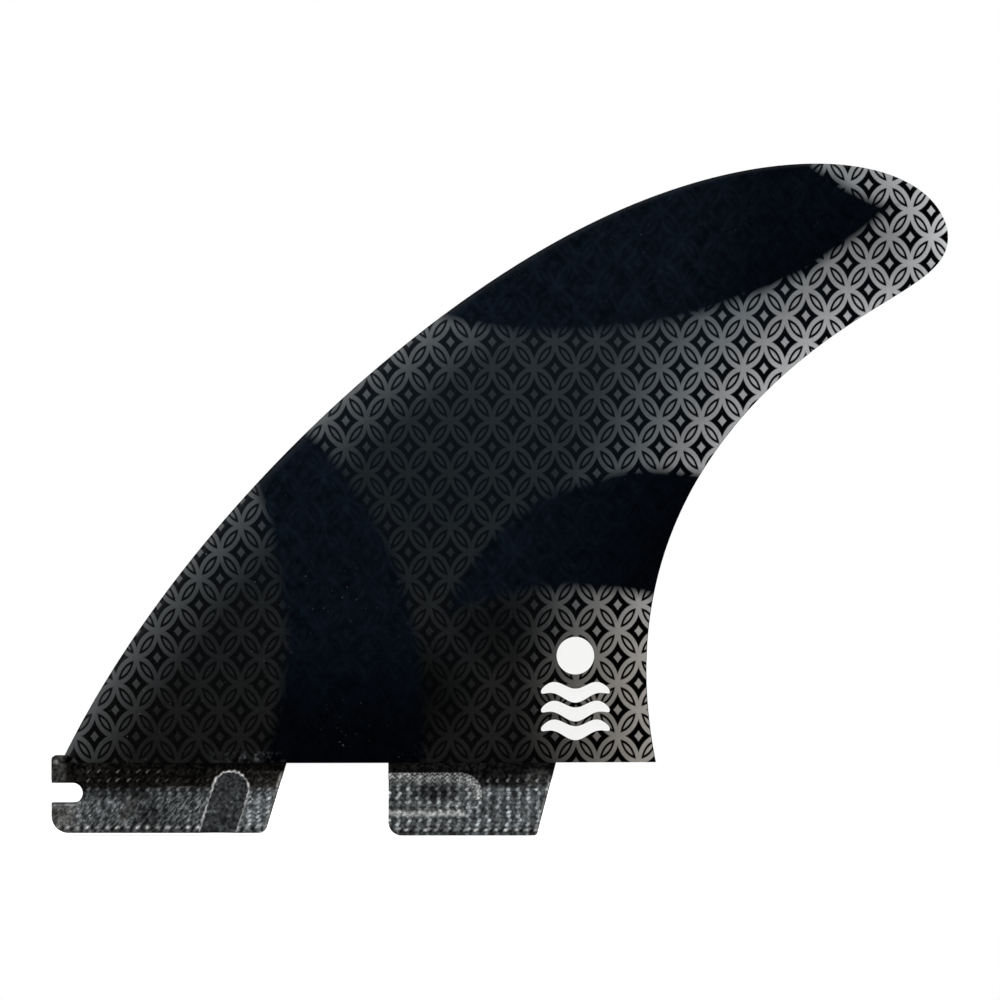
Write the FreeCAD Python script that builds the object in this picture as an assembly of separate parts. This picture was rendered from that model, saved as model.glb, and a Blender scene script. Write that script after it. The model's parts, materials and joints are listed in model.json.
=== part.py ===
import FreeCAD
import Part

import math
import os

from FreeCAD import Vector

# A moulded side fin for a surfboard, in one piece: a swept blade on two tabs.
# X runs towards the board's tail, Z up the blade, and Y to the fin's flat inner side.
# The origin is on the board's surface, halfway along the pair of tabs.

# Blade, in millimetres
base_length = 111.0
blade_depth = 111.7
tip_overhang = 54.4
root_thickness = 6.1
edge_thickness = 0.8
nose_radius_length = 1.3

# Tabs
tab_thickness = 6.0
tab_gap = 19.0
tab_edge_radius = 0.5
front_tab_length = 43.7
front_tab_depth = 13.05
front_tab_toe_radius = 3.2
front_tab_heel_radius = 1.5
rear_tab_length = 31.2
rear_tab_depth = 13.5
rear_tab_toe_radius = 2.5
rear_tab_heel_radius = 0.8
front_tab_rake_deg = 17.0
rear_tab_rake_deg = 14.8

# Nose of the front tab, which stands ahead of the blade and holds the hook notch
nose_lead = 1.6
nose_rise = 1.3
nose_corner_radius = 0.7
nose_seat = 0.8
notch_width = 3.73
notch_length = 5.8
notch_drop = 5.6

# Hollows in both sides of the tabs, which the board's plug presses into
groove_width = 6.7
groove_hollow = 1.2
groove_setback = 10.3
groove_drop = 4.9
scoop_width = 7.6
scoop_hollow = 1.3
scoop_length = 17.3
scoop_drop = 5.8

# The blade's outline: control points of its two edges, from the base to the tip they share.
# The leading edge is in shares of the whole sweep and of the depth, and the trailing edge
# in shares of the overhang and of the depth.
leading_shares = [(0.0, 0.0), (0.119, 0.365), (0.619, 1.088), (0.978, 1.019), (1.0, 0.892)]
trailing_shares = [(0.0, 0.0), (-0.142, 0.343), (0.561, 0.772), (1.031, 0.808), (1.0, 0.892)]

# How the section thins from root to tip, and how the edge ends in a point at the tip
thickness_shares = [1.0, 0.76, 0.45, 0.24, 0.0]
edge_shares = [1.0, 1.0, 1.0, 1.0, 0.0]

# A cubic curve rounds a corner as an ellipse does when its middle control points lie this
# share of the way from the corner to its ends.
corner_share = 0.448

front_x = -(front_tab_length + tab_gap + rear_tab_length) / 2
front_tab_end = front_x + front_tab_length
rear_x = front_tab_end + tab_gap
rear_tab_end = rear_x + rear_tab_length
leading_x = front_x + nose_lead
trailing_x = leading_x + base_length
flat_y = tab_thickness / 2
front_rake = math.tan(math.radians(front_tab_rake_deg))
rear_rake = math.tan(math.radians(rear_tab_rake_deg))


def section_polynomial():
    """Half thickness of the classic four-digit wing section, for a peak of 1, in powers of w.

    w is the square root of the distance behind the nose, as a share of the chord. In w the
    law has no root left in it, so a curve of degree eight follows it exactly.
    """
    powers = [0.0] * 9
    powers[1] = 2.969
    powers[2] = -1.260
    powers[4] = -3.516
    powers[6] = 2.843
    powers[8] = -1.036
    return powers


def bezier_values(powers):
    """Control values of a polynomial between 0 and 1, by the power to Bernstein rule."""
    degree = len(powers) - 1
    values = []
    for j in range(degree + 1):
        terms = [math.comb(j, i) / math.comb(degree, i) * powers[i] for i in range(j + 1)]
        values.append(sum(terms))
    return values


def quarter_round(start, corner, end):
    """Section points of a cubic that turns the corner between start and end as an ellipse."""
    near_start = tuple(c + (a - c) * corner_share for a, c in zip(start, corner))
    near_end = tuple(c + (b - c) * corner_share for b, c in zip(end, corner))
    return [start, near_start, near_end, end]


def blade_strip(profile, leading, trailing, bulges, edges):
    """A face carried from root to tip along the two edges of the blade.

    Each profile point is (chord share, bulge share, edge share), and each station between
    a leading and a trailing control point turns it into a point of the skin.
    """
    rows = []
    for chord, bulge, edge in profile:
        row = []
        for lead, trail, height, rim in zip(leading, trailing, bulges, edges):
            place = lead + (trail - lead) * chord
            row.append(place + Vector(0, flat_y - bulge * height - edge * rim, 0))
        rows.append(row)
    degree = len(profile) - 1
    span_knots = [0.0, 0.5, 1.0]
    strip = Part.BSplineSurface()
    strip.buildFromPolesMultsKnots(
        rows, [degree + 1, degree + 1], [4, 1, 4], [0.0, 1.0], span_knots,
        False, False, degree, 3,
    )
    return strip


def make_blade():
    """Foiled skin, rounded nose, square tail, flat inner face and base, closed to one solid."""
    reach = base_length + tip_overhang
    leading = [Vector(leading_x + reach * a, 0, blade_depth * b) for a, b in leading_shares]
    trailing = [
        Vector(trailing_x + tip_overhang * a, 0, blade_depth * b) for a, b in trailing_shares
    ]
    bulges = [root_thickness * share for share in thickness_shares]
    edges = [edge_thickness * share for share in edge_shares]

    nose = nose_radius_length / base_length
    chord_powers = [0.0, 0.0, 1.0] + [0.0] * 6
    chords = bezier_values(chord_powers)
    bulge_values = bezier_values(section_polynomial())
    profiles = [
        quarter_round((nose, 0.0, 0.0), (0.0, 0.0, 0.0), (0.0, 0.0, 1.0)),
        [(chord, bulge, 1.0) for chord, bulge in zip(chords, bulge_values)],
        [(1.0, 0.0, 1.0), (1.0, 0.0, 0.0)],
    ]
    strips = [blade_strip(profile, leading, trailing, bulges, edges) for profile in profiles]
    root_edges = [strip.vIso(0.0).toShape() for strip in strips]
    nose_line = strips[0].uIso(0.0).toShape()
    tail_line = strips[-1].uIso(1.0).toShape()
    root_line = Part.makeLine(nose_line.valueAt(0.0), tail_line.valueAt(0.0))
    inner = Part.Face(Part.Wire([root_line, tail_line, nose_line]))
    base = Part.Face(Part.Wire(root_edges + [root_line]))
    shell = Part.makeShell([strip.toShape() for strip in strips] + [inner, base])
    shell.sewShape()
    blade = Part.makeSolid(shell)
    if blade.Volume < 0:
        blade.reverse()
    return blade


def rounded_outline(corners):
    """Closed outline in the XZ plane. Each corner is (x, z, radius), and its arc is tangent."""
    points = [Vector(x, 0, z) for x, z, radius in corners]
    edges = []
    starts = []
    ends = []
    for i, (x, z, radius) in enumerate(corners):
        here = points[i]
        back = (points[i - 1] - here).normalize()
        ahead = (points[(i + 1) % len(points)] - here).normalize()
        half = back.getAngle(ahead) / 2
        starts.append(here + back * (radius / math.tan(half)))
        ends.append(here + ahead * (radius / math.tan(half)))
        if radius > 0:
            inward = (back + ahead).normalize()
            middle = here + inward * (radius / math.sin(half) - radius)
            edges.append(Part.Arc(starts[i], middle, ends[i]).toShape())
    for i, end in enumerate(ends):
        edges.append(Part.makeLine(end, starts[(i + 1) % len(points)]))
    return Part.Wire(Part.sortEdges(edges)[0])


def make_tab(corners):
    """A tab's outline made as thick as the slot, with its edges eased below the board."""
    face = Part.Face(rounded_outline(corners))
    face.translate(Vector(0, -flat_y, 0))
    tab = face.extrude(Vector(0, tab_thickness, 0))
    rim = []
    for edge in tab.Edges:
        box = edge.BoundBox
        on_side = box.YLength < 1e-6
        under_blade = box.ZLength < 1e-6 and abs(box.ZMax) < 1e-6
        if on_side and not under_blade:
            rim.append(edge)
    return tab.makeFillet(tab_edge_radius, rim)


def make_front_tab():
    """Front tab with the nose that stands up ahead of the blade."""
    edge_run = leading_shares[1][0] * (base_length + tip_overhang)
    edge_rise = leading_shares[1][1] * blade_depth
    seat_x = leading_x + nose_seat
    seat_top_x = seat_x + nose_rise * edge_run / edge_rise
    return make_tab([
        (front_x, -front_tab_depth, front_tab_toe_radius),
        (front_x, nose_rise, nose_corner_radius),
        (seat_top_x, nose_rise, 0.0),
        (seat_x, 0.0, 0.0),
        (front_tab_end, 0.0, 0.0),
        (front_tab_end - front_tab_depth * front_rake, -front_tab_depth, front_tab_heel_radius),
    ])


def make_rear_tab():
    """Rear tab, square in front and raked behind."""
    return make_tab([
        (rear_x, -rear_tab_depth, rear_tab_toe_radius),
        (rear_x, 0.0, 0.0),
        (rear_tab_end, 0.0, 0.0),
        (rear_tab_end - rear_tab_depth * rear_rake, -rear_tab_depth, rear_tab_heel_radius),
    ])


def make_notch():
    """Open slot with a round end, cut through the front tab from its nose."""
    radius = notch_width / 2
    across = 2 * tab_thickness
    end = Vector(front_x + notch_length - radius, -tab_thickness, -notch_drop)
    bar = Part.makeCylinder(radius, across, end, Vector(0, 1, 0))
    mouth = Part.makeBox(notch_length, across, notch_width, end - Vector(notch_length, 0, radius))
    return bar.fuse(mouth)


def round_hollow(width, hollow, start, direction, length):
    """Pair of round-bottomed cutters, one for each side, with a round end at start.

    The cutter's radius follows from the width it leaves on the face and its depth below it.
    """
    radius = (width * width / 4 + hollow * hollow) / (2 * hollow)
    cutters = []
    for side in (-1, 1):
        centre = start + Vector(0, side * (flat_y + radius - hollow), 0)
        ball = Part.makeSphere(radius, centre)
        rod = Part.makeCylinder(radius, length, centre, direction)
        cutters.append(ball.fuse(rod))
    return cutters


def make_fin():
    """The blade on its tabs, with the notch and the hollows cut."""
    groove_start = Vector(front_tab_end - groove_setback, 0, -groove_drop)
    groove = round_hollow(
        groove_width, groove_hollow, groove_start, Vector(-front_rake, 0, -1), 2 * front_tab_depth
    )
    scoop_start = Vector(rear_x + scoop_length - scoop_width / 2, 0, -scoop_drop)
    scoop = round_hollow(scoop_width, scoop_hollow, scoop_start, Vector(-1, 0, 0), 2 * scoop_length)
    front_tab = make_front_tab().cut([make_notch()] + groove)
    rear_tab = make_rear_tab().cut(scoop)
    return make_blade().fuse([front_tab, rear_tab]).removeSplitter()


fin = make_fin()
os.makedirs("parts", exist_ok=True)
fin.exportStep("parts/fin.step")
print(fin.ShapeType, "of", len(fin.Solids), "solid, valid", fin.isValid(), "volume", round(fin.Volume))
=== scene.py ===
import json

import bpy
import numpy as np
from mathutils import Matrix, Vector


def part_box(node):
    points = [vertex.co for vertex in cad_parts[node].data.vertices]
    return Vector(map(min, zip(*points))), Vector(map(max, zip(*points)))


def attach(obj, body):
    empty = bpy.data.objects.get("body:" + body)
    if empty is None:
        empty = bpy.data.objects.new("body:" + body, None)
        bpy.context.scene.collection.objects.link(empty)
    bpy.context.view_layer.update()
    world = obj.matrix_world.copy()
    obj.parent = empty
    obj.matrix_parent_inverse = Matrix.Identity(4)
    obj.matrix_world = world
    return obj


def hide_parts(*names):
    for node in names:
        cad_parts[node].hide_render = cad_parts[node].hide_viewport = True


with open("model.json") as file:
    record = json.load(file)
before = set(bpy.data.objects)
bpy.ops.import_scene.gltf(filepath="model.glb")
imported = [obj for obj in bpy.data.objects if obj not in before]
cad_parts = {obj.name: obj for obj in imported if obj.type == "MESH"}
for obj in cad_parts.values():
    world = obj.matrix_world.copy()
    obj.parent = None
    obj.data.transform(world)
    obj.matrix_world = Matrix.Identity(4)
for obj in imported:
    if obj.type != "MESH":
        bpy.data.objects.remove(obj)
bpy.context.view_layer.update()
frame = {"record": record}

# The blade
# The swept, foiled blade of a side fin: glass cloth and a printed cloth, pressed in a polished
# mould under clear resin. Its outer side bulges, its inner side is flat, and both edges are eased.

mm = 0.001

fin_low, fin_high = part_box("fin")
base_length = 111.0 * mm
leading_x = fin_low.x + 1.6 * mm
trailing_x = leading_x + base_length
blade_depth = 111.7 * mm
tip_overhang = 54.4 * mm
root_thickness = 6.1 * mm
edge_thickness = 0.8 * mm
nose_length = 1.3 * mm
tail_easing = 0.25 * mm
flat_y = fin_high.y
crease_angle = np.radians(50)

leading_shares = [(0.0, 0.0), (0.119, 0.365), (0.619, 1.088), (0.978, 1.019), (1.0, 0.892)]
trailing_shares = [(0.0, 0.0), (-0.142, 0.343), (0.561, 0.772), (1.031, 0.808), (1.0, 0.892)]
thickness_shares = [1.0, 0.76, 0.45, 0.24, 0.0]
edge_shares = [1.0, 1.0, 1.0, 1.0, 0.0]


def spline_weights(v):
    """Weights of five control points on a cubic curve with one knot halfway, by the rule of
    Cox and de Boor: each weight of one degree blends two weights of the degree below."""
    knots = np.array([0.0, 0.0, 0.0, 0.0, 0.5, 1.0, 1.0, 1.0, 1.0])
    last_share = 1.0 - 1e-12
    least_span = 1e-9
    v = np.clip(v, 0.0, last_share)
    weights = [((low <= v) & (v < high)).astype(float) for low, high in zip(knots, knots[1:])]
    for degree in (1, 2, 3):
        blended = []
        for i in range(len(weights) - 1):
            rise = max(knots[i + degree] - knots[i], least_span)
            fall = max(knots[i + degree + 1] - knots[i + 1], least_span)
            before = (v - knots[i]) / rise * weights[i]
            after = (knots[i + degree + 1] - v) / fall * weights[i + 1]
            blended.append(before + after)
        weights = blended
    return np.stack(weights, axis=-1)


def blade_edges(v):
    """Leading edge, trailing edge, bulge and rim thickness at the span shares v."""
    weights = spline_weights(v)
    sweep = base_length + tip_overhang
    leading = weights @ np.array(
        [(leading_x + sweep * a, blade_depth * b) for a, b in leading_shares]
    )
    trailing = weights @ np.array(
        [(trailing_x + tip_overhang * a, blade_depth * b) for a, b in trailing_shares]
    )
    bulge = weights @ (root_thickness * np.array(thickness_shares))
    rim = weights @ (edge_thickness * np.array(edge_shares))
    return leading, trailing, bulge, rim


def foil(chord):
    """Half thickness of the classic four-digit wing section, scaled to a peak of 1:
    2.969 times the root of the chord share, less 1.260, 3.516 and 1.036 times its first,
    second and fourth power, plus 2.843 times its third."""
    return (
        2.969 * np.sqrt(chord) - 1.260 * chord - 3.516 * chord**2
        + 2.843 * chord**3 - 1.036 * chord**4
    )


def blade_section(foil_steps, flat_steps, round_steps):
    """The section's loop as three arrays: chord share, bulge share and rim share of its points.

    It runs round the nose as a quarter ellipse, over the foil in even steps of the chord's
    root, round the two eased corners of the tail, and back along the flat."""
    turn = np.linspace(0.0, np.pi / 2, round_steps + 1)
    nose = nose_length / base_length
    ease = tail_easing / base_length
    lip = tail_easing / edge_thickness
    root = np.linspace(0.0, np.sqrt(1.0 - ease), foil_steps + 1)
    back = 0.5 - 0.5 * np.cos(np.linspace(0.0, np.pi, flat_steps + 1))
    chord = np.concatenate([
        nose * (1 - np.sin(turn)),
        root[1:] ** 2,
        1 - ease + ease * np.sin(turn[1:]),
        1 - ease + ease * np.cos(turn),
        (1 - ease) + (nose - (1 - ease)) * back[1:-1],
    ])
    bulge = np.concatenate([
        0 * turn,
        foil(root[1:] ** 2),
        foil(1 - ease + ease * np.sin(turn[1:])),
        0 * turn,
        0 * back[1:-1],
    ])
    rim = np.concatenate([
        1 - np.cos(turn),
        1 + 0 * root[1:],
        1 - lip + lip * np.cos(turn[1:]),
        lip - lip * np.sin(turn),
        0 * back[1:-1],
    ])
    return chord, bulge, rim


def wrap_faces(rows, columns):
    """Quads between neighbouring rows of a grid whose columns close on themselves."""
    row, column = np.meshgrid(np.arange(rows - 1), np.arange(columns), indexing="ij")
    here = row * columns + column
    beside = row * columns + (column + 1) % columns
    return np.stack([here, beside, beside + columns, here + columns], axis=-1).reshape(-1, 4)


def new_piece(name, points, faces, attributes):
    """An object at the origin from arrays of points and faces, smooth, with its attributes."""
    mesh = bpy.data.meshes.new(name)
    mesh.from_pydata(points.tolist(), [], [list(map(int, face)) for face in faces])
    mesh.shade_smooth()
    for attribute_name, values in attributes.items():
        attribute = mesh.attributes.new(attribute_name, "FLOAT", "POINT")
        attribute.data.foreach_set("value", np.asarray(values, np.float32))
    piece = bpy.data.objects.new(name, mesh)
    bpy.context.scene.collection.objects.link(piece)
    return piece


def distance_to_line(points, line):
    """Shortest distance in the XZ plane from each point to a line of many short pieces, by
    dropping a perpendicular to each piece and keeping to its ends. Returns also where it lands."""
    least_length_squared = 1e-18
    best = np.full(len(points), np.inf)
    landing = np.zeros_like(points)
    for start, end in zip(line[:-1], line[1:]):
        run = end - start
        length_squared = max(run @ run, least_length_squared)
        share = np.clip((points - start) @ run / length_squared, 0.0, 1.0)
        foot = start + share[:, None] * run
        distance = np.hypot(*(points - foot).T)
        nearer = distance < best
        best[nearer] = distance[nearer]
        landing[nearer] = foot[nearer]
    return best, landing


def make_blade():
    """Points of the blade: at span share v each station's point lies on the line from the
    leading to the trailing edge at its chord share, and stands out of the flat by its bulge
    share of the thickness and its rim share of the rim. The stations close up towards the tip
    and stop where the chord is a quarter of a millimetre. From there the skin runs to the one
    point of the tip, and the base is one flat face."""
    span_steps = 260
    steps_left_to_tip = 10
    edge_line_points = 120
    chord, bulge_share, rim_share = blade_section(foil_steps=190, flat_steps=70, round_steps=8)
    span = np.sin(np.linspace(0.0, np.pi / 2, span_steps + 1))[:-steps_left_to_tip]
    leading, trailing, bulge, rim = blade_edges(span)
    across = trailing - leading
    place = leading[:, None, :] + across[:, None, :] * chord[None, :, None]
    y = flat_y - bulge[:, None] * bulge_share - rim[:, None] * rim_share
    points = np.stack([place[..., 0], y, place[..., 1]], axis=-1).reshape(-1, 3)
    columns = len(chord)
    tip = blade_edges(np.array([1.0]))[0][0]
    points = np.vstack([points, [tip[0], flat_y, tip[1]]])
    faces = wrap_faces(len(span), columns).tolist()
    last = (len(span) - 1) * columns
    column = np.arange(columns)
    tip_point = np.full(columns, len(points) - 1)
    faces += np.stack([last + column, last + (column + 1) % columns, tip_point], axis=1).tolist()
    faces.append(column[::-1].tolist())

    leading_line, trailing_line, _, _ = blade_edges(np.linspace(0.0, 1.0, edge_line_points))
    side_view = points[:, [0, 2]]
    to_leading, _ = distance_to_line(side_view, leading_line)
    to_trailing, _ = distance_to_line(side_view, trailing_line)
    on_rim = (rim_share > 0.03) & (rim_share < 0.97) & (bulge_share < 0.02)
    attributes = {
        "to_leading": to_leading / mm,
        "to_trailing": to_trailing / mm,
        "rim": np.append(np.tile(on_rim, len(span)), 0),
    }
    piece = new_piece("blade", points, faces, attributes)
    piece.data.set_sharp_from_angle(angle=crease_angle)
    return piece


class Value:
    """An output in a material's node tree. Arithmetic on it adds Math nodes to the tree."""

    def __init__(self, tree, socket):
        self.tree = tree
        self.socket = socket

    def node(self, kind, settings, inputs, output=0):
        """Adds a node, applies its settings, then sets or links its inputs, and gives an output."""
        node = self.tree.nodes.new(kind)
        for name, setting in settings.items():
            setattr(node, name, setting)
        for place, value in inputs.items():
            if isinstance(value, Value):
                self.tree.links.new(value.socket, node.inputs[place])
            else:
                node.inputs[place].default_value = value
        return Value(self.tree, node.outputs[output])

    def math(self, operation, *others, clamp=False):
        """Adds a Math node on this value and the others."""
        settings = {"operation": operation, "use_clamp": clamp}
        return self.node("ShaderNodeMath", settings, dict(enumerate((self, *others))))

    def __add__(self, other):
        return self.math("ADD", other)

    def __radd__(self, other):
        return self.math("ADD", other)

    def __sub__(self, other):
        return self.math("SUBTRACT", other)

    def __rsub__(self, other):
        return (self * -1).math("ADD", other)

    def __mul__(self, other):
        return self.math("MULTIPLY", other)

    def __rmul__(self, other):
        return self.math("MULTIPLY", other)

    def __truediv__(self, other):
        return self.math("DIVIDE", other)

    def __pow__(self, other):
        return self.math("POWER", other)

    def __abs__(self):
        return self.math("ABSOLUTE")

    def least(self, other):
        """The smaller of the two."""
        return self.math("MINIMUM", other)

    def most(self, other):
        """The larger of the two."""
        return self.math("MAXIMUM", other)

    def clamped(self):
        """Held between 0 and 1."""
        return self.math("ADD", 0.0, clamp=True)

    def ramp(self, length):
        """Rises evenly from 0 where the value is 0 to 1 where it is the length, and stays there."""
        return (self / length).clamped()

    def fold(self, length):
        """Runs up from 0 to the length and back down, over and over."""
        return self.math("PINGPONG", length)

    def mix(self, low, high):
        """The colour low where this value is 0, and high where it is 1."""
        inputs = {0: self, 6: low, 7: high}
        return self.node("ShaderNodeMix", {"data_type": "RGBA"}, inputs, output=2)

    def tinted(self, colour):
        """The colour, made as bright as this value says."""
        return self.node("ShaderNodeVectorMath", {"operation": "SCALE"}, {0: colour, "Scale": self})


def length_of(across, along):
    """Length of a line from its run across and its run along."""
    return (across * across + along * along) ** 0.5


def new_material(name):
    """An empty material, the root of its tree as a Value, and its Principled BSDF."""
    material = bpy.data.materials.new(name)
    material.use_nodes = True
    tree = material.node_tree
    shader = tree.nodes["Principled BSDF"]
    return material, Value(tree, shader.outputs[0]), shader


def attribute_value(tree_root, name):
    """The piece's own attribute of that name."""
    return tree_root.node("ShaderNodeAttribute", {"attribute_name": name}, {}, output="Fac")


def place_in_mm(tree_root):
    """Object coordinates, and their X and Z as values in millimetres."""
    coordinates = tree_root.node("ShaderNodeTexCoord", {}, {}, output="Object")
    axes = coordinates.node("ShaderNodeSeparateXYZ", {}, {0: coordinates})
    x = Value(axes.tree, axes.socket.node.outputs["X"]) / mm
    z = Value(axes.tree, axes.socket.node.outputs["Z"]) / mm
    return coordinates, x, z


def noise(coordinates, scale, detail, roughness=0.5):
    """Smooth noise about 0.5, at so many waves to the metre."""
    inputs = {"Vector": coordinates, "Scale": scale, "Detail": detail, "Roughness": roughness}
    return coordinates.node("ShaderNodeTexNoise", {}, inputs)


display_power = 2.2


def print_material():
    """Print under clear resin: rows of pointed ovals that cross as a lattice, in black ink on a
    grey ground, with soft navy fields like breaking waves. A painted reflection brightens the
    ground towards both edges and up the blade, and painted shade darkens the print in places.
    Each wave is a circle with a bite taken out by another. Places are in millimetres, and levels
    are as they look on a screen, which the display power turns into light."""
    tile_width = 3.9
    tile_height = 4.9
    stroke_half_width = 0.09
    stroke_middle = 0.03
    slit_start = 0.225
    star_end = -0.28
    ink_edge = 0.04
    field_softness = 2.2
    circles_and_bites = [
        ((-52, 9, 74.5), (-71, 24, 67.5)),
        ((48, 174, 94), (120, 141.5, 38.8)),
        ((66, 12.5, 42.3), (50, -28, 60.5)),
    ]
    material, root, shader = new_material("printed_blade")
    coordinates, x, z = place_in_mm(root)
    to_leading = attribute_value(root, "to_leading")
    to_trailing = attribute_value(root, "to_trailing")

    # The lattice: two circles about opposite corners of a tile overlap in a pointed oval. Bare is
    # where there is no ink: the oval's outline, a slit along its middle, the star between ovals
    across = (x / tile_width).fold(1.0)
    along = (z / tile_height).fold(1.0)
    petal = (1 - length_of(1 - across, along)).least(1 - length_of(across, 1 - along))
    stroke = ((stroke_half_width - abs(petal - stroke_middle)) / ink_edge + 0.5).clamped()
    slit = ((petal - slit_start) / ink_edge + 0.5).clamped()
    star = ((star_end - petal) / ink_edge + 0.5).clamped()
    bare = stroke.most(slit).most(star)

    # The ground: dark in the middle, with a painted reflection that brightens it towards both
    # edges and up the blade, and painted shade in two places near the base
    middle_grey = z.ramp(40) * 0.03 + (z - 50).ramp(45) * 0.08 + 0.13
    middle_grey = middle_grey + (1 - to_trailing / 45).clamped() * 0.04
    reflected_grey = (z - 50).ramp(25) * 0.1 - (z - 85).ramp(15) * 0.08 + 0.625
    ramp_length = (z - 55).ramp(35) * 7 + (z - 85).ramp(15) * 12 + 24
    ramp_power = (z - 25).ramp(25) * 0.5 + 1
    # Painted reflection, strongest at the trailing and leading edges and fading inwards
    trailing_painted_light = (1 - to_trailing / ramp_length).clamped() ** ramp_power
    leading_painted_reflection = (1 - to_leading / 11.5).clamped()
    mottle = noise(coordinates, 900, 3) * 0.12 + 0.94
    grey = middle_grey + (reflected_grey - middle_grey) * trailing_painted_light + leading_painted_reflection * 0.18
    shade = (1 - length_of((x - 19) / 15, (z - 13) / 13)).clamped()
    shade = shade.most((1 - length_of(x - 36, z - 26) / 12).clamped() * 0.6) * 0.6
    grey = (grey * mottle * (1 - shade)) ** display_power
    # Tints: cool up the blade, warm at the foot of the trailing edge
    cool = (z - 8).ramp(40)
    warm = (x - 30).ramp(25) * (45 - z).ramp(30)
    ground = cool.mix((1.0, 1.0, 1.0, 1), (0.77, 1.0, 1.14, 1))
    ground = leading_painted_reflection.mix(ground, (0.94, 1.0, 1.03, 1))
    ground = (trailing_painted_light * 1.6).clamped().mix(ground, (0.98, 1.0, 1.02, 1))
    ground = warm.mix(ground, (1.06, 1.0, 0.92, 1))
    # Painted light on the ink: lighter up the blade, darker near the tip, and painted shade towards
    # the trailing edge and in the two shaded places
    ink_level = z.ramp(80) * 0.042 - (z - 88).ramp(12) * 0.03 + 0.064
    ink_level = (ink_level - trailing_painted_light * 0.047) * (1 - shade * 0.6)
    ink_tint = cool.mix((0.98, 1.0, 0.98, 1), (0.7, 1.0, 1.35, 1))
    ink = (ink_level ** display_power).tinted(ink_tint)
    print_colour = bare.mix(ink, grey.tinted(ground))

    # The navy fields: clouded, with painted shade that darkens them towards the base, the tip and
    # the trailing edge
    def inside(centre_x, centre_z, radius):
        """How far a place lies inside a circle."""
        return radius - length_of(x - centre_x, z - centre_z)

    swell, crest, curl = [
        inside(*circle).least(inside(*bite) * -1) for circle, bite in circles_and_bites
    ]
    waver = (noise(coordinates, 60, 2) - 0.5) * 2.0
    field = swell.most(crest).most(curl) + waver
    navy = (field / field_softness + 0.5).clamped()
    clouded = (noise(coordinates, 450, 4, 0.6) * 2.2 - 0.6).clamped()
    navy_cloud_and_painted_shade = (clouded * 0.9 + 0.5) * (bare * 0.3 + 0.85) * (1 - (x - 68).ramp(18) * 0.4)
    navy_cloud_and_painted_shade = navy_cloud_and_painted_shade * (z.ramp(60) * 0.4 + 0.6) * (to_trailing.ramp(28) * 0.75 + 0.3)
    navy_cloud_and_painted_shade = navy_cloud_and_painted_shade * ((z - 6).ramp(18) * 0.65 + 0.35)
    colour = navy.mix(print_colour, navy_cloud_and_painted_shade.tinted((0.0033, 0.0056, 0.0097)))
    # Air trapped in the resin, as a patch at the base and as specks, and the dark rim
    near_base = (1 - abs(z - 1.1) / 1.2).clamped() * (1 - abs(x + 10) / 8).clamped()
    trapped_air = ((noise(coordinates, 700, 2, 0.6) - 0.5) * 6).clamped() * near_base * 0.6
    specks = ((noise(coordinates, 2000, 1) - 0.74) * 12).clamped() * to_trailing / 60
    trapped_air = trapped_air.most(specks * (noise(coordinates, 90, 1) * 1.2 - 0.4).clamped())
    colour = trapped_air.mix(colour, (0.16, 0.18, 0.19, 1))
    rim = attribute_value(root, "rim")
    colour = rim.mix(colour, (0.005, 0.005, 0.006, 1))
    root.tree.links.new(colour.socket, shader.inputs["Base Color"])

    metal = bare * (1 - navy) * 0.2
    root.tree.links.new(metal.socket, shader.inputs["Metallic"])
    shader.inputs["Roughness"].default_value = 0.42
    shader.inputs["Specular IOR Level"].default_value = 0.0
    gloss = 1 - rim * 0.7
    root.tree.links.new(gloss.socket, shader.inputs["Coat Weight"])
    shader.inputs["Coat Roughness"].default_value = 0.05
    ripple = noise(coordinates, 220, 2)
    bump = root.node(
        "ShaderNodeBump", {}, {"Strength": 0.15, "Distance": 0.00004, "Height": ripple}
    )
    root.tree.links.new(bump.socket, shader.inputs["Normal"])
    return material


blade = make_blade()
blade.data.materials.append(print_material())
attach(blade, "root")
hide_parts("fin")

# The white mark
# A sun over three waves in white ink, on the outer side near the trailing edge, printed as one
# thin film and covered by the clear resin. The waves are widest halfway and blunt at both ends.

mark_left = 44.2 * mm
mark_width = 12.8 * mm
wave_heights = [6.2 * mm, 9.7 * mm, 13.2 * mm]
wave_thickness = 2.6 * mm
wave_swing = 0.75 * mm
wave_bluntness = 0.35
sun_radius = 3.5 * mm
sun_height = 19.9 * mm
mark_lift = 0.02 * mm
mark_sink = 0.05 * mm


def outer_face_y(x, z):
    """Y of the foiled face over points in XZ. Newton steps find the chord and span shares whose
    place on the blade is x and z, from a start across the straight base."""
    newton_steps = 12
    step = 1e-5
    chord = (x - leading_x) / base_length
    span = z / (0.9 * blade_depth)
    for _ in range(newton_steps):
        leading, trailing, _, _ = blade_edges(span)
        leading_next, trailing_next, _, _ = blade_edges(span + step)
        across = trailing - leading
        place = leading + across * chord[:, None]
        place_next = leading_next + (trailing_next - leading_next) * chord[:, None]
        slope = (place_next - place) / step
        miss = np.stack([x, z], axis=-1) - place
        area = across[:, 0] * slope[:, 1] - across[:, 1] * slope[:, 0]
        chord = chord + (miss[:, 0] * slope[:, 1] - miss[:, 1] * slope[:, 0]) / area
        span = span + (across[:, 0] * miss[:, 1] - across[:, 1] * miss[:, 0]) / area
    _, _, bulge, rim = blade_edges(span)
    return flat_y - bulge * foil(chord) - rim


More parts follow.
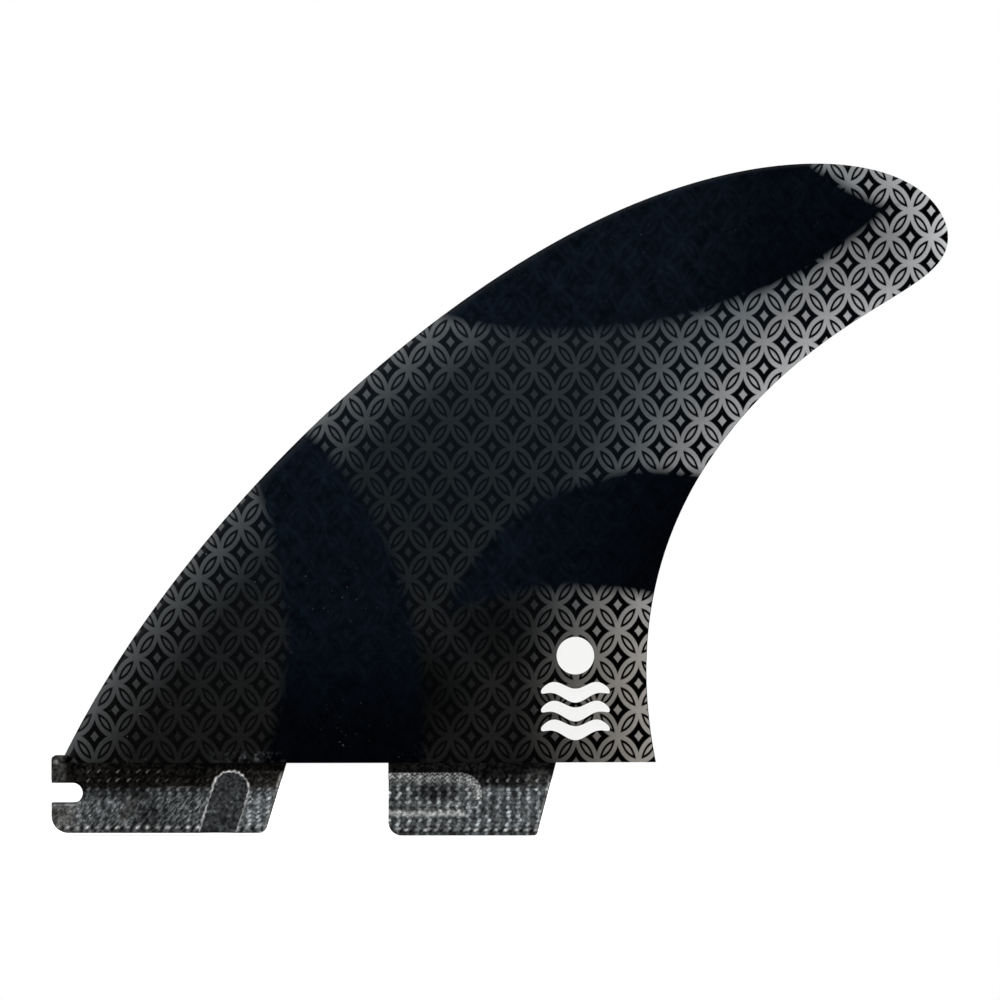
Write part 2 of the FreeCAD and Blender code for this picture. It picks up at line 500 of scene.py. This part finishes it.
def make_mark():
    """Closed films from just above the foiled face to just below it. Each wave follows one and a
    half turns of a sine, and its half width is half the thickness times a sine arch to the
    power of the bluntness. The sun is rings round its middle."""
    wave_steps = 122
    film_steps = 9
    sun_steps = 72
    lift = np.repeat([mark_lift, -mark_sink], film_steps)
    over = np.linspace(1.0, -1.0, film_steps)
    side = np.append(over, -over)[None, :]
    along = 0.5 - 0.5 * np.cos(np.linspace(0.0, np.pi, wave_steps + 1)[1:-1, None])
    half_width = 0.5 * wave_thickness * np.sin(np.pi * along) ** wave_bluntness
    grids = []
    for wave_height in wave_heights:
        x = mark_left + mark_width * along + 0 * side
        z = wave_height + wave_swing * np.sin(3 * np.pi * along) + side * half_width
        grids.append((x, z, lift + 0 * x))
    turn = np.linspace(2 * np.pi, 0.0, sun_steps + 1)[None, :-1]
    out = np.linspace(0.04, 1.0, film_steps)
    ring = sun_radius * np.append(out, out[::-1])[:, None]
    x = mark_left + mark_width / 2 + ring * np.cos(turn)
    z = sun_height + ring * np.sin(turn)
    grids.append((x, z, lift[:, None] + 0 * x))
    points = []
    faces = []
    count = 0
    for x, z, height in grids:
        rows, columns = x.shape
        cap = count + np.arange(columns)
        faces += (count + wrap_faces(rows, columns)).tolist()
        faces += [cap[::-1].tolist(), (cap + (rows - 1) * columns).tolist()]
        y = outer_face_y(x.ravel(), z.ravel()) - height.ravel()
        points.append(np.stack([x.ravel(), y, z.ravel()], axis=-1))
        count += x.size
    piece = new_piece("white_mark", np.vstack(points), faces, {})
    piece.data.set_sharp_from_angle(angle=crease_angle)
    return piece


def mark_material():
    """White ink with a trace of the cloth below, under the same clear gloss as the blade."""
    material, root, shader = new_material("white_mark")
    coordinates, _, _ = place_in_mm(root)
    grain = noise(coordinates, 1400, 3) * 0.05 + 0.93
    root.tree.links.new(grain.tinted((1.0, 1.0, 0.99)).socket, shader.inputs["Base Color"])
    shader.inputs["Roughness"].default_value = 0.4
    shader.inputs["Coat Weight"].default_value = 1.0
    shader.inputs["Coat Roughness"].default_value = 0.05
    return material


white_mark = make_mark()
white_mark.data.materials.append(mark_material())
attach(white_mark, "root")

# The tabs
# Two tabs of glass cloth in clear resin, moulded with the blade. The cloth's beads show through
# the satin face, darker in the band under the blade, and side hollows are pressed in both faces.

tab_half_thickness = 3.0 * mm
tab_edge_radius = 0.5 * mm
tab_step = 0.13 * mm
cloth_pitch = 1.86 * mm
cloth_row = 0.83 * mm
cloth_drop = 0.33 * mm
loop_row = 0.78 * mm
cloth_relief = 0.13 * mm

mounts = {mount["name"]: mount for mount in frame["record"]["mounts"]}


def rounded_line(corners, steps):
    """Points round a closed outline whose corners (x, z, radius) are turned by tangent arcs."""
    corner = np.array([(x, z) for x, z, _ in corners])
    line = []
    for i, (x, z, radius) in enumerate(corners):
        here = corner[i]
        back = corner[i - 1] - here
        ahead = corner[(i + 1) % len(corners)] - here
        back = back / np.hypot(*back)
        ahead = ahead / np.hypot(*ahead)
        half = np.arccos(np.clip(back @ ahead, -1.0, 1.0)) / 2
        if radius == 0:
            line.append(here[None, :])
            continue
        middle = here + (back + ahead) / np.hypot(*(back + ahead)) * radius / np.sin(half)
        start = here + back * radius / np.tan(half) - middle
        turn = np.pi - 2 * half
        side = np.sign(start[0] * (here - middle)[1] - start[1] * (here - middle)[0])
        angle = side * np.linspace(0.0, turn, steps + 1)[:, None]
        swung = start * np.cos(angle) + np.array([-start[1], start[0]]) * np.sin(angle)
        line.append(middle + swung)
    return np.vstack(line + [line[0][:1]])


def is_inside(points, line):
    """True where a level ray from the point crosses the closed line an odd number of times."""
    crossings = np.zeros(len(points), int)
    for (x0, z0), (x1, z1) in zip(line[:-1], line[1:]):
        spans = (z0 > points[:, 1]) != (z1 > points[:, 1])
        rise = z1 - z0 if z1 != z0 else 1.0
        crossings += spans & (points[:, 0] < x0 + (points[:, 1] - z0) * (x1 - x0) / rise)
    return crossings % 2 == 1


def ramp(value, length):
    """Rises evenly from 0 where the value is 0 to 1 where it is the length, on arrays."""
    return np.clip(value / length, 0.0, 1.0)


def band(value, middle, half_width):
    """A soft band that is 1 on its middle and falls off as a bell curve."""
    return np.exp(-(((value - middle) / half_width) ** 2))


def hollow_depth(gap, width, hollow):
    """Depth below the face of a round-bottomed hollow at a distance from its middle line:
    the sagitta of the cutter's circle there, which is the full hollow in the middle."""
    radius = (width * width / 4 + hollow * hollow) / (2 * hollow)
    drop = np.sqrt(np.maximum(radius * radius - gap * gap, 0.0))
    return np.maximum(drop - (radius - hollow), 0.0)


def cloth_beads(x, z, lean, swing, chained, thinned, seed):
    """Height of the cloth from 0 to 1: columns of leaning beads that swing left and right from
    row to row, each a little off its place and higher or lower than its neighbours, joined to
    chains, with a weaker set halfway between. Where thinned only every second row shows."""
    table_size = 64
    lowest_bead = 0.35
    stray = 0.09
    weak_set = 0.2
    half_width = (0.24 - 0.11 * thinned) * cloth_pitch
    half_height = 0.56 * cloth_row
    random = np.random.default_rng(seed)
    heights = random.uniform(lowest_bead, 1.0, (table_size, 2 * table_size))
    shifts = random.uniform(-stray, stray, (2, table_size, 2 * table_size))
    z = z + cloth_drop
    row = np.floor(z / cloth_row).astype(int)
    kept = 1 - thinned * (row % 2)
    zigzag = 2 * np.abs((z / cloth_row + 0.5) % 2 - 1) - 1
    cloth = 0 * x
    for offset, strength, slot in ((0.0, 1.0, 0), (0.5, weak_set, table_size)):
        shift = (zigzag * swing + offset) * cloth_pitch
        column = np.floor((x - shift) / cloth_pitch).astype(int)
        place = (row % table_size, slot + column % table_size)
        across = x - shift - (column + 0.5) * cloth_pitch
        along = z - (row + 0.5 + shifts[1][place]) * cloth_row
        leaned = across - shifts[0][place] * cloth_pitch - lean * along
        oval = 1 - (leaned / half_width) ** 2 - (along / half_height) ** 2
        bead = strength * kept * heights[place] * np.sqrt(np.clip(oval, 0.0, 1.0))
        cloth = np.maximum(cloth, bead * (1 - thinned * (slot > 0)))
        chain = chained * strength * np.sqrt(np.clip(1 - (across / half_width) ** 2, 0.0, 1.0))
        cloth = np.maximum(cloth, chain * (1 - thinned))
    return cloth


def grid_quads(keep):
    """Quads of the kept cells of a grid of nodes, as indices into the flattened grid."""
    columns = keep.shape[1]
    row, column = np.nonzero(keep)
    here = row * (columns + 1) + column
    return np.stack([here, here + 1, here + columns + 2, here + columns + 1], axis=-1)


def make_tab(name, outline, rim, relief, marks):
    """A tab from its outline. A square grid of nodes is laid over it, and nodes near the
    outline move onto it. Both faces are this grid at the half thickness, less the quarter
    round along the rim and the relief. A wall joins the two along the grid's border."""
    low = outline.min(axis=0) - 2 * tab_step
    high = outline.max(axis=0) + 2 * tab_step
    x = np.arange(low[0], high[0] + tab_step, tab_step)
    z = np.arange(low[1], high[1] + tab_step, tab_step)
    grid_z, grid_x = np.meshgrid(z, x, indexing="ij")
    nodes = np.stack([grid_x.ravel(), grid_z.ravel()], axis=-1)
    distance, landing = distance_to_line(nodes, outline)
    signed = np.where(is_inside(nodes, outline), distance, -distance)
    reach = tab_step / np.sqrt(2)
    border = np.abs(signed) <= reach
    nodes[border] = landing[border]
    deep = (signed > reach).reshape(grid_x.shape)
    keep = deep[:-1, :-1] | deep[1:, :-1] | deep[:-1, 1:] | deep[1:, 1:]
    quads = grid_quads(keep)
    used, index = np.unique(quads, return_inverse=True)
    quads = index.reshape(quads.shape)
    nodes = nodes[used]

    to_rim, _ = distance_to_line(nodes, rim)
    inset = np.clip(tab_edge_radius - to_rim, 0.0, tab_edge_radius)
    easing = tab_edge_radius - np.sqrt(tab_edge_radius**2 - inset**2)
    values = marks(nodes[:, 0], nodes[:, 1])
    fade = ramp(to_rim, tab_edge_radius)
    height = tab_half_thickness - easing - relief(nodes[:, 0], nodes[:, 1])
    height = height - cloth_relief * (1 - values["crown"]) * fade
    count = len(nodes)
    front = np.stack([nodes[:, 0], -height, nodes[:, 1]], axis=-1)
    back = np.stack([nodes[:, 0], height, nodes[:, 1]], axis=-1)

    sides = np.stack([quads, np.roll(quads, -1, axis=1)], axis=-1).reshape(-1, 2)
    key = sides[:, 0] * count + sides[:, 1]
    reverse = sides[:, 1] * count + sides[:, 0]
    edge = sides[~np.isin(key, reverse)]
    wall_rows = 12
    wall_share = 0.8
    share = np.linspace(0.0, 1.0, wall_rows + 1)[1:-1, None, None]
    ring, place = np.unique(edge, return_inverse=True)
    start, end = place.reshape(edge.shape).T
    between = front[ring] * (1 - share) + back[ring] * share
    added = 2 * count + np.arange(len(share) * len(ring)).reshape(-1, len(ring))
    levels = np.vstack([ring, added, ring + count])
    walls = [
        np.stack([lower[end], lower[start], upper[start], upper[end]], axis=-1)
        for lower, upper in zip(levels[:-1], levels[1:])
    ]
    points = np.vstack([front, back, between.reshape(-1, 3)])
    faces = np.vstack([quads, quads[:, ::-1] + count] + walls)
    attributes = {}
    for attribute_name, value in values.items():
        walled = np.tile(value[ring] * wall_share, len(share))
        attributes[attribute_name] = np.concatenate([value, value, walled])
    return new_piece(name, points, faces, attributes)


front_x = fin_low.x
front_tab_end = front_x + 43.7 * mm
front_tab_low = -13.05 * mm
front_rake = np.tan(np.radians(17.0))
nose_top = 1.3 * mm
seat_x = leading_x + 0.8 * mm
seat_lean = 0.62 * mm
notch = mounts["hook_notch"]
notch_radius = notch["dims"]["r_mm"] * mm
notch_rounding = notch_radius * 0.999
notch_x, _, notch_z = notch["pos_m"]
groove_x, _, groove_z = mounts["groove_face"]["pos_m"]
groove_width = 6.7 * mm
groove_hollow = 1.2 * mm
front_band_low = -4.9 * mm
crease_ends = np.array([(-29.5, -3.6), (-31.2, -6.0)]) * mm
fold_ends = np.array([(-31.4, -6.8), (-33.8, -10.2)]) * mm

front_outline = rounded_line([
    (front_x, front_tab_low, 3.2 * mm),
    (front_x, notch_z - notch_radius, 0.0),
    (notch_x + notch_radius, notch_z - notch_radius, notch_rounding),
    (notch_x + notch_radius, notch_z + notch_radius, notch_rounding),
    (front_x, notch_z + notch_radius, 0.0),
    (front_x, nose_top, 0.7 * mm),
    (seat_x + seat_lean, nose_top, 0.0),
    (seat_x, 0.0, 0.0),
    (front_tab_end, 0.0, 0.0),
    (front_tab_end + front_tab_low * front_rake, front_tab_low, 1.5 * mm),
], steps=14)


def rim_of(outline):
    """The outline without its straight stretch under the blade, from its last point on."""
    under = (outline[:-1, 1] == 0.0) & (outline[1:, 1] == 0.0)
    first = int(np.nonzero(under)[0][0])
    return np.vstack([outline[first + 1:-1], outline[:first + 1]])


def hem(x, z, low):
    """Row of bright beads along a tab's lower edge, some brighter than others, and the dark
    notches between and below them."""
    turn = np.pi * ((x - 0.5 * z) / cloth_pitch - 0.62)
    uneven = 0.88 + 0.18 * np.sin(2.3 * x / mm) * np.cos(0.9 * x / mm)
    beads = band(z, low + 1.08 * mm, 0.45 * mm) * np.abs(np.cos(turn)) ** 1.5 * uneven
    notches = band(z, low + 0.85 * mm, 0.4 * mm) * np.sin(turn) ** 4
    return beads, np.maximum(notches, 0.5 * band(z, low + 0.45 * mm, 0.14 * mm))


def stretch_gap(x, z, start, end):
    """Distance from a straight stretch between two points."""
    reach = np.subtract(end, start)
    share = ((x - start[0]) * reach[0] + (z - start[1]) * reach[1]) / (reach @ reach)
    share = np.clip(share, 0.0, 1.0)
    return np.hypot(x - start[0] - share * reach[0], z - start[1] - share * reach[1])


def groove_gap(x, z):
    """Distance from the middle line of the slanted groove, which starts round and runs out
    at the lower edge, parallel to the tab's raked end."""
    down = np.array([-front_rake, -1.0]) / np.hypot(front_rake, 1.0)
    along = np.maximum((x - groove_x) * down[0] + (z - groove_z) * down[1], 0.0)
    return np.hypot(x - groove_x - along * down[0], z - groove_z - along * down[1])


def front_relief(x, z):
    """Depth of the groove at each place."""
    return hollow_depth(groove_gap(x, z), groove_width, groove_hollow)


def front_marks(x, z):
    """Over the front tab: how high the cloth stands, how bright its zone is, how much wear it
    shows and where highlights are painted, and how streaked and warm it is. A dark band lies
    under the blade, a fold of the cloth runs down from it, and the prow ahead of the blade and
    the nose above the notch are smooth."""
    under_blade = ramp(z - front_band_low, 0.8 * mm)
    beyond = ramp(x - groove_x - 2 * mm, 2 * mm)
    lean = 0.5 + 0.3 * under_blade + 0.35 * beyond
    crown = cloth_beads(x, z, lean, 0.12 * (1 - 0.7 * beyond), 0.06, under_blade, seed=3)
    crown = crown * (1 - 0.6 * under_blade * ramp(x + 28 * mm, 3 * mm))
    crown = crown * ramp(-0.8 * mm - z, 0.2 * mm)
    # The cloth is flatter in the groove, under the streaks, at the front and along the fold
    gap = groove_gap(x, z)
    in_groove = ramp(groove_width / 2 - gap, 0.3 * mm)
    streaked = ramp(-4.8 * mm - z, 1.5 * mm) * (1 - in_groove) * (1 - beyond)
    streaked = streaked * np.clip((x + 44 * mm) / (4 * mm), 0.2, 1.0)
    crown = crown * (1 - 0.75 * in_groove) * (1 - 0.62 * streaked)
    prow = ramp(front_x + 5.6 * mm - x, 2.2 * mm)
    seat = under_blade * ramp(front_x + 6.9 * mm - x, 0.8 * mm)
    crown = crown * (1 - 0.9 * np.maximum(prow, seat))
    crease = band(stretch_gap(x, z, *crease_ends), 0.0, 0.55 * mm)
    fold = band(stretch_gap(x, z, *fold_ends), 0.0, 0.9 * mm)
    crown = crown * (1 - 0.8 * np.maximum(crease, fold))
    streaked = streaked * (1 - 0.7 * fold)
    # Zones: dark under the blade, bright below, with a step at the fold and the nose bright too
    step_z = np.where(x < -31 * mm - 0.4 * z, -4.6 * mm, -3.8 * mm)
    zone = ramp(step_z - z, 2.8 * mm)
    zone = zone * (1.06 + 0.16 * beyond - 0.3 * band(x, -25.5 * mm, 10 * mm))
    zone = zone + 0.3 * beyond * (z < -1.5 * mm)
    nose = ramp(front_x + 3.2 * mm - x, 1.0 * mm) * (z > -6 * mm)
    zone = np.maximum(zone, 0.85 * nose) * (1 + 0.3 * prow * (z < -6 * mm))
    zone = zone * (1 - 0.6 * band(x, -29 * mm, 2.4 * mm) * band(z, -9.6 * mm, 2.2 * mm))
    zone = zone * (1 - 0.9 * crease)
    zone = zone * (1 - in_groove) + 0.8 * in_groove
    # Rubbed through to the glass: rim of the notch, lower edge, spot on the nose. Painted
    # highlights: the groove's rim, over its wear, and the raked end's rounded edge
    rake_gap = (front_tab_end + z * front_rake - x) / np.hypot(1.0, front_rake)
    # Painted highlight on the groove's rim, brighter towards its top, over the rim's wear
    wander = 0.07 * mm * (np.sin(4.1 * z / mm + 1.7 * x / mm) + np.sin(6.3 * x / mm - 2.9 * z / mm))
    worn = band(gap + wander, groove_width / 2, 0.24 * mm)
    worn = worn * (1.1 + 0.2 * ramp(z + 7.5 * mm, 3 * mm))
    # Painted highlight along the raked end's rounded edge
    worn = np.maximum(worn, 0.8 * band(rake_gap, 0.3 * mm, 0.35 * mm) * (z < -1.5 * mm))
    beads, notches = hem(x, z, front_tab_low)
    crown = crown * (1 - 0.8 * notches)
    worn = np.maximum(worn, 1.3 * beads * (1 - in_groove))
    worn = np.maximum(worn, 0.5 * band(z, -4.5 * mm, 0.17 * mm) * band(x, -22.5 * mm, 5 * mm))
    notch_lip = band(z, notch_z - notch_radius - 0.35 * mm, 0.35 * mm)
    worn = np.maximum(worn, 0.8 * notch_lip * ramp(front_x + 5.8 * mm - x, mm))
    nose_spot = band(x, front_x + 0.9 * mm, 0.8 * mm) * band(z, 0.1 * mm, 0.8 * mm)
    worn = np.maximum(worn, 0.75 * nose_spot)
    zone = zone * (1 - 0.9 * notches * (1 - in_groove))
    warm = np.maximum(under_blade * (1 - 0.5 * nose), 0.4 * np.maximum(prow, fold))
    warm = warm * (1 - in_groove)
    return {"crown": crown, "zone": zone, "worn": worn, "streaked": streaked, "warm": warm}


rear_x = 15.75 * mm
rear_tab_end = rear_x + 31.2 * mm
rear_tab_low = fin_low.z
rear_rake = np.tan(np.radians(14.8))
scoop_x, _, scoop_z = mounts["scoop_face"]["pos_m"]
scoop_width = 7.6 * mm
scoop_hollow = 1.3 * mm
rear_band_low = -4.5 * mm

rear_outline = rounded_line([
    (rear_x, rear_tab_low, 2.5 * mm),
    (rear_x, 0.0, 0.0),
    (rear_tab_end, 0.0, 0.0),
    (rear_tab_end + rear_tab_low * rear_rake, rear_tab_low, 0.8 * mm),
], steps=14)


def scoop_gap(x, z):
    """Distance from the middle line of the level scoop, which starts at the tab's front."""
    return np.hypot(np.maximum(x - scoop_x, 0.0), z - scoop_z)


def rear_relief(x, z):
    """Depth of the scoop at each place."""
    return hollow_depth(scoop_gap(x, z), scoop_width, scoop_hollow)


def rear_marks(x, z):
    """Over the rear tab: how high the cloth stands, how bright its zone is, how much wear it
    shows and where highlights are painted, and how warm it is. Inside the scoop's rim the cloth
    is pressed into wavy rows that follow the rim, with painted shade in a dark pocket in the
    middle and a painted highlight on the bright lip below, which faces up."""
    under_blade = ramp(z - rear_band_low, 0.6 * mm)
    gap = scoop_gap(x, z)
    in_scoop = ramp(scoop_width / 2 - gap, 0.4 * mm)
    under_blade = under_blade * (1 - in_scoop)
    crown = cloth_beads(x, z, 0.35, 0.12, 0.3, 0.55 * under_blade, seed=5)
    crown = crown * (1 - under_blade * ramp(z + 2.4 * mm, 0.5 * mm))
    zone = np.maximum(ramp(-4.0 * mm - z, 0.9 * mm), 1.15 * in_scoop)
    bare_end = ramp(x - 40.4 * mm, 1.5 * mm)
    zone = np.maximum(zone, 0.5 * bare_end * ramp(-0.9 * mm - z, 0.6 * mm))
    # The scoop's painted shade in its dark pocket and along its front, the bright wall round it,
    # and the painted highlight on the lip below
    pocket = np.exp(-(((x - 24.4 * mm) / (3.7 * mm)) ** 4 + ((z + 5.5 * mm) / (1.7 * mm)) ** 4))
    side = ramp(scoop_x + 0.5 * mm - x, mm) * band(z, -5.5 * mm, 1.7 * mm)
    shade = np.maximum(pocket, 0.55 * side * np.clip(1 - 1.6 * crown, 0.0, 1.0))
    zone = zone * (1 - 0.95 * shade)
    bend = np.arctan2(np.maximum(x - scoop_x, 0.0), z - scoop_z)
    along_rim = np.minimum(x, scoop_x) + scoop_width / 2 * bend
    ripple = np.sin(4 * np.pi * along_rim / cloth_pitch) + 0.5 * np.sin(1.7 * x / mm)
    loops = np.abs(np.cos(np.pi * gap / loop_row + 0.9 * ripple)) ** 3
    wall = ramp(scoop_width / 2 + 0.35 * mm - gap, 0.3 * mm) * (z > -7 * mm)
    bright_until = scoop_width / 2 - 0.5 * mm
    wall = wall * band(np.minimum(gap, bright_until), bright_until, 2.0 * mm)
    # Painted highlight on the lip below the scoop, which faces up
    lip = band(z, -9.45 * mm, 0.85 * mm) * ramp(scoop_x + 1.5 * mm - x, mm)
    scallop = band(z + 0.16 * mm * np.cos(2 * np.pi * x / cloth_pitch), -7.75 * mm, 0.16 * mm)
    scallop = scallop * ramp(scoop_x + 1.0 * mm - x, mm)
    # Rubbed through to the glass: the wall, the scalloped line between it and the lip, and the
    # lower edge. Painted highlights: the lip, which faces up, and the raked end's rounded edge
    rake_gap = (rear_tab_end + z * rear_rake - x) / np.hypot(1.0, rear_rake)
    worn = np.maximum(wall * (0.44 + 0.62 * loops + 0.3 * crown), 1.2 * lip * (0.8 + 0.2 * crown))
    worn = np.maximum(worn, 0.8 * scallop)
    # Painted highlight along the raked end's rounded edge
    worn = np.maximum(worn, 0.7 * band(rake_gap, 0.3 * mm, 0.35 * mm) * (z < -3.6 * mm))
    seam = band(z, -8.3 * mm, 0.25 * mm) * (x < scoop_x + mm)
    beads, notches = hem(x, z, rear_tab_low)
    crown = crown * (1 - 0.9 * notches)
    worn = np.maximum(worn, 1.35 * beads)
    zone = zone * (1 - 0.75 * seam) * (1 - 0.9 * notches)
    warm = 0.4 * under_blade
    return {"crown": crown, "zone": zone, "worn": worn, "streaked": 0 * x, "warm": warm}


def tab_material():
    """Moulded cloth in resin: dark between the beads and pale grey on them, by how bright the
    zone is, which holds painted shade in the scoop's pocket, with a mottle of resin that runs in
    slanted streaks on the front tab, small painted glints, and paler where edges are rubbed
    through to the glass or carry a painted highlight."""
    material, root, shader = new_material("glass_tab")
    coordinates, _, _ = place_in_mm(root)
    crown = attribute_value(root, "crown")
    zone = attribute_value(root, "zone")
    worn = attribute_value(root, "worn")
    streaked = attribute_value(root, "streaked")
    warm = attribute_value(root, "warm")
    drawn_out = coordinates.node(
        "ShaderNodeMapping", {"vector_type": "TEXTURE"},
        {"Vector": coordinates, "Rotation": (0.0, np.radians(40), 0.0), "Scale": (1.0, 1.0, 2.8)},
    )
    speckle = ((noise(coordinates, 1500, 2, 0.6) - 0.5) * 4.0 + 0.5).clamped()
    streaks = ((noise(drawn_out, 2100, 2, 0.6) - 0.5) * 5.0 + 0.42).clamped()
    mottle = speckle + (streaks - speckle) * streaked
    glint = ((noise(coordinates, 1700, 2) - 0.58) * 8).clamped()
    patches = noise(coordinates, 420, 3)
    glass = crown * 0.36 + 0.145 + mottle * (streaked * 0.13 + 0.14) + crown * mottle * 0.16
    glass = (glass + glint * 0.14) * (patches * 0.9 + 0.6)
    dark = crown * 0.36 + mottle * patches * 0.15 + 0.045
    level = dark + (glass - dark) * zone
    # Wear and painted highlights make the level paler
    level = level.most(worn * (mottle * 0.3 + 0.42) * (patches * 0.9 + 0.6))
    tint = (warm * (1 - crown * 0.6)).mix((0.92, 1.0, 1.04, 1), (1.12, 1.0, 0.86, 1))
    tint = worn.clamped().mix(tint, (0.99, 1.0, 0.99, 1))
    colour = (level ** display_power).tinted(tint)
    root.tree.links.new(colour.socket, shader.inputs["Base Color"])
    rough = 0.55 - crown * 0.2
    root.tree.links.new(rough.socket, shader.inputs["Roughness"])
    shader.inputs["Specular IOR Level"].default_value = 0.12
    bump = root.node(
        "ShaderNodeBump", {}, {"Strength": 0.5, "Distance": 0.00005, "Height": mottle}
    )
    root.tree.links.new(bump.socket, shader.inputs["Normal"])
    return material


front_tab = make_tab("front_tab", front_outline, rim_of(front_outline), front_relief, front_marks)
rear_tab = make_tab("rear_tab", rear_outline, rim_of(rear_outline), rear_relief, rear_marks)
glass_tab = tab_material()
for tab in (front_tab, rear_tab):
    tab.data.materials.append(glass_tab)
    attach(tab, "root")
    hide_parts("fin")

# The studio
# A pale floor just under the tabs, a white surround, two soft lamps on each side of the blade,
# and a camera level with it, square to its outer side as a product is shown.

floor_half_size = 0.32
floor_gap = 0.05 * mm
lamp_distance = 1.2
lamp_size = 1.1
lamp_power = 7.0
lamp_places = [(-0.85, -0.55, 0.55), (0.9, -0.5, 0.3), (-0.85, 0.55, 0.55), (0.9, 0.5, 0.3)]
surround_light = 0.55
mirrored_light = 0.22
floor_glow = 0.7
camera_distance = 1.6
frame_width = 186.4 * mm
sensor_width = 36.0
picture_centre = (36.54 * mm, 48.93 * mm)


def make_floor():
    """A level square just below the tabs' lowest edge."""
    size = floor_half_size
    centre_x = (fin_low.x + fin_high.x) / 2
    corners = np.array([(-1, -1), (1, -1), (1, 1), (-1, 1)]) * size
    level = np.full(len(corners), fin_low.z - floor_gap)
    points = np.column_stack([corners[:, 0] + centre_x, corners[:, 1], level])
    return new_piece("floor", points, [(0, 1, 2, 3)], {})


def floor_material():
    """Pale card: part of its white is its own light for the camera, so that it matches the
    surround, and the rest is lit, so that it keeps the object's shadow. Reflections pass
    through it and show the surround below."""
    material, root, shader = new_material("pale_floor")
    path = root.node("ShaderNodeLightPath", {}, {}, output="Is Camera Ray")
    glow = (path * floor_glow).tinted((1.0, 1.0, 1.0))
    shader.inputs["Base Color"].default_value = (0.8, 0.8, 0.8, 1)
    shader.inputs["Roughness"].default_value = 0.9
    shader.inputs["Specular IOR Level"].default_value = 0.0
    root.tree.links.new(glow.socket, shader.inputs["Emission Color"])
    shader.inputs["Emission Strength"].default_value = 1.0
    clear = root.node("ShaderNodeBsdfTransparent", {}, {})
    mirrored = Value(root.tree, path.socket.node.outputs["Is Glossy Ray"])
    surface = mirrored.node("ShaderNodeMixShader", {}, {0: mirrored, 1: root, 2: clear})
    output = root.tree.nodes["Material Output"]
    root.tree.links.new(surface.socket, output.inputs["Surface"])
    return material


def light_the_world():
    """White to the camera. Reflections see a dim grey all round the blade's plane and black
    straight in front and behind, and soft light on the surfaces is low and even."""
    world = bpy.data.worlds.new("surround")
    bpy.context.scene.world = world
    world.use_nodes = True
    tree = world.node_tree
    background = tree.nodes["Background"]
    root = Value(tree, background.outputs[0])
    direction = root.node("ShaderNodeTexCoord", {}, {}, output="Generated")
    axes = root.node("ShaderNodeSeparateXYZ", {}, {0: direction})
    facing = abs(Value(tree, axes.socket.node.outputs["Y"]))
    beside = (1 - facing * 1.8).clamped()
    path = root.node("ShaderNodeLightPath", {}, {}, output="Is Camera Ray")
    outputs = path.socket.node.outputs
    passed = Value(tree, outputs["Is Transmission Ray"])
    mirrored = Value(tree, outputs["Is Glossy Ray"]).most(passed)
    level = path.most(mirrored * beside * mirrored_light + (1 - mirrored) * surround_light)
    tree.links.new(level.tinted((1.0, 1.0, 1.0)).socket, background.inputs["Color"])


def make_lamp(number, place):
    """A soft square lamp that faces the blade's middle and shows in no reflection."""
    data = bpy.data.lights.new(f"lamp_{number}", "AREA")
    data.energy = lamp_power
    data.size = lamp_size
    lamp = bpy.data.objects.new(data.name, data)
    bpy.context.scene.collection.objects.link(lamp)
    direction = Vector(place).normalized()
    centre = Vector((picture_centre[0], 0.0, picture_centre[1]))
    lamp.location = centre + direction * lamp_distance
    lamp.rotation_euler = direction.to_track_quat("Z", "Y").to_euler()
    lamp.visible_glossy = False


def make_camera():
    """Looks along +Y, with the picture's width fixed at the blade."""
    data = bpy.data.cameras.new("camera")
    data.sensor_width = sensor_width
    data.lens = sensor_width * camera_distance / frame_width
    data.clip_start = 0.01
    camera = bpy.data.objects.new("camera", data)
    bpy.context.scene.collection.objects.link(camera)
    camera.location = (picture_centre[0], -camera_distance, picture_centre[1])
    camera.rotation_euler = (np.pi / 2, 0.0, 0.0)
    return camera


floor = make_floor()
floor.data.materials.append(floor_material())
light_the_world()
for number, place in enumerate(lamp_places):
    make_lamp(number, place)
bpy.context.scene.camera = make_camera()
bpy.context.scene.view_settings.view_transform = "Standard"
